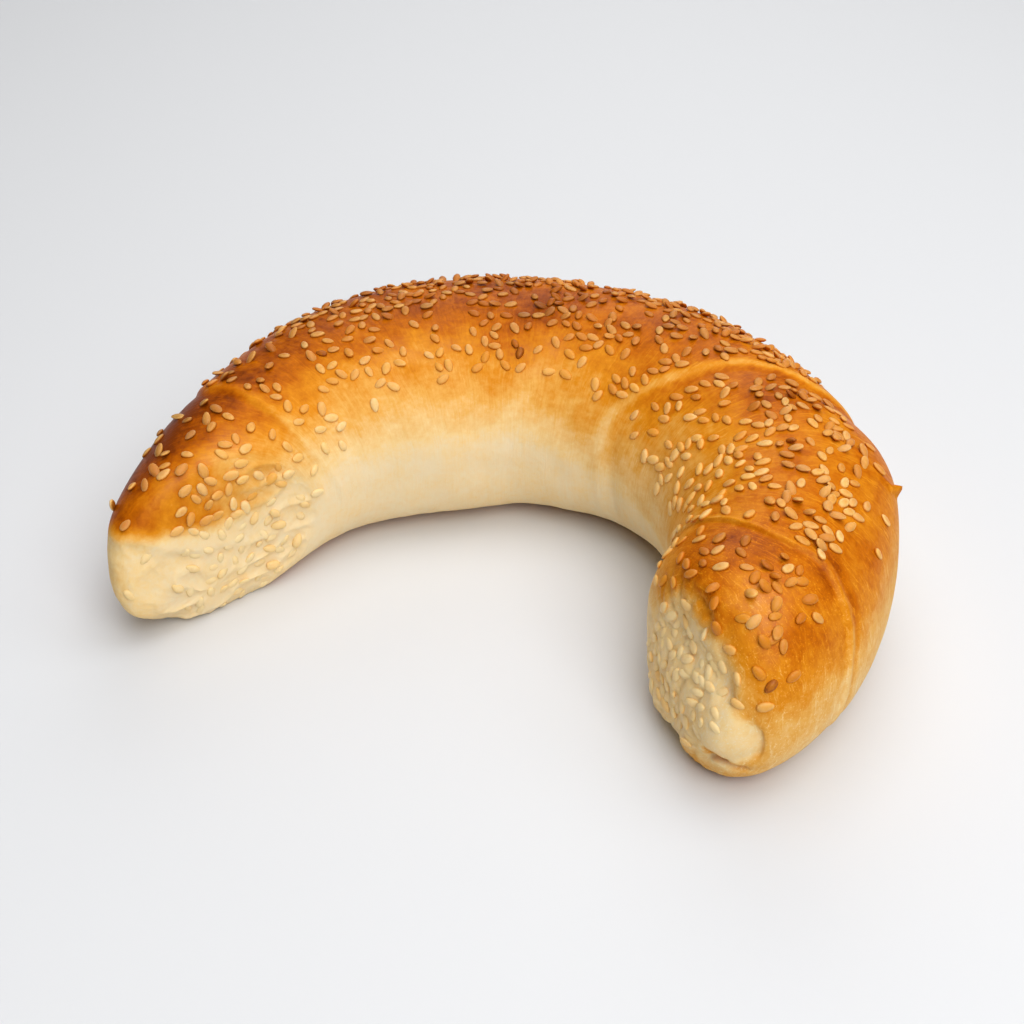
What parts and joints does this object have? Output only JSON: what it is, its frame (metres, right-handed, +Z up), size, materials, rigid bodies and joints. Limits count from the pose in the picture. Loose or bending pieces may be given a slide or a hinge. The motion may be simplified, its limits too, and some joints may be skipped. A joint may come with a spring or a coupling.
{
  "type": "sesame crescent roll",
  "caption": "Baked crescent-shaped bread roll with rolled seams, blunt pale tips, a flat base and sesame seeds fused to its browned crust.",
  "frame": {"origin": "on the flat base, under the middle of the bounding box", "axes": "+X along the longest side, from the left tip towards the right tip; +Y from the open side of the crescent towards its back; +Z up, the shortest side"},
  "size_m": [0.1586, 0.1406, 0.044],
  "materials": {
    "baked_crust": null
  },
  "bodies": {
    "root": {"roll": "baked_crust"}
  },
  "joints": []
}
